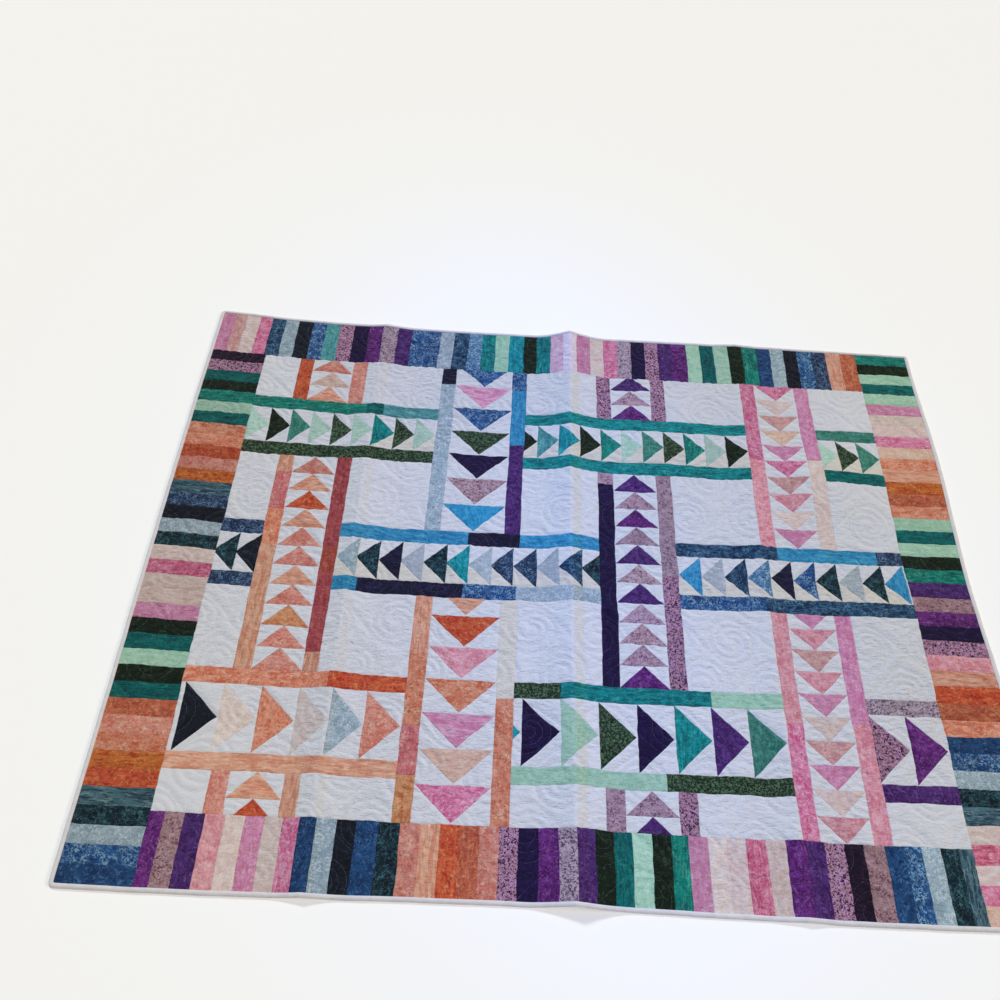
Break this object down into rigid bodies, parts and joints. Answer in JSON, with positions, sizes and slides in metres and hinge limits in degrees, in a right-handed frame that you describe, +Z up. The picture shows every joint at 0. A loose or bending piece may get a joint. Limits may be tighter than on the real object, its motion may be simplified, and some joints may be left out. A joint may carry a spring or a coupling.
{
  "type": "patchwork quilt",
  "caption": "Pieced throw quilt lying flat: woven bands of triangles on a white ground, a border of short coloured strips and a white binding, with ridges left by folding.",
  "frame": {"origin": "on the surface that the quilt lies on, under the middle of its outline", "axes": "+X to the right along the long side, +Y from the near edge to the far edge, +Z up"},
  "size_m": [1.9432, 1.5923, 0.0306],
  "materials": {
    "centre_cloth": "matt pieced and quilted cotton, mostly white with many mottled colours",
    "border_cloth": "matt quilted cotton strips in many mottled colours",
    "binding_cloth": "matt white cotton, folded double"
  },
  "bodies": {
    "root": {"centre": "centre_cloth", "border_top": "border_cloth", "border_right": "border_cloth", "border_bottom": "border_cloth", "border_left": "border_cloth", "binding_top": "binding_cloth", "binding_right": "binding_cloth", "binding_bottom": "binding_cloth", "binding_left": "binding_cloth"}
  },
  "joints": []
}
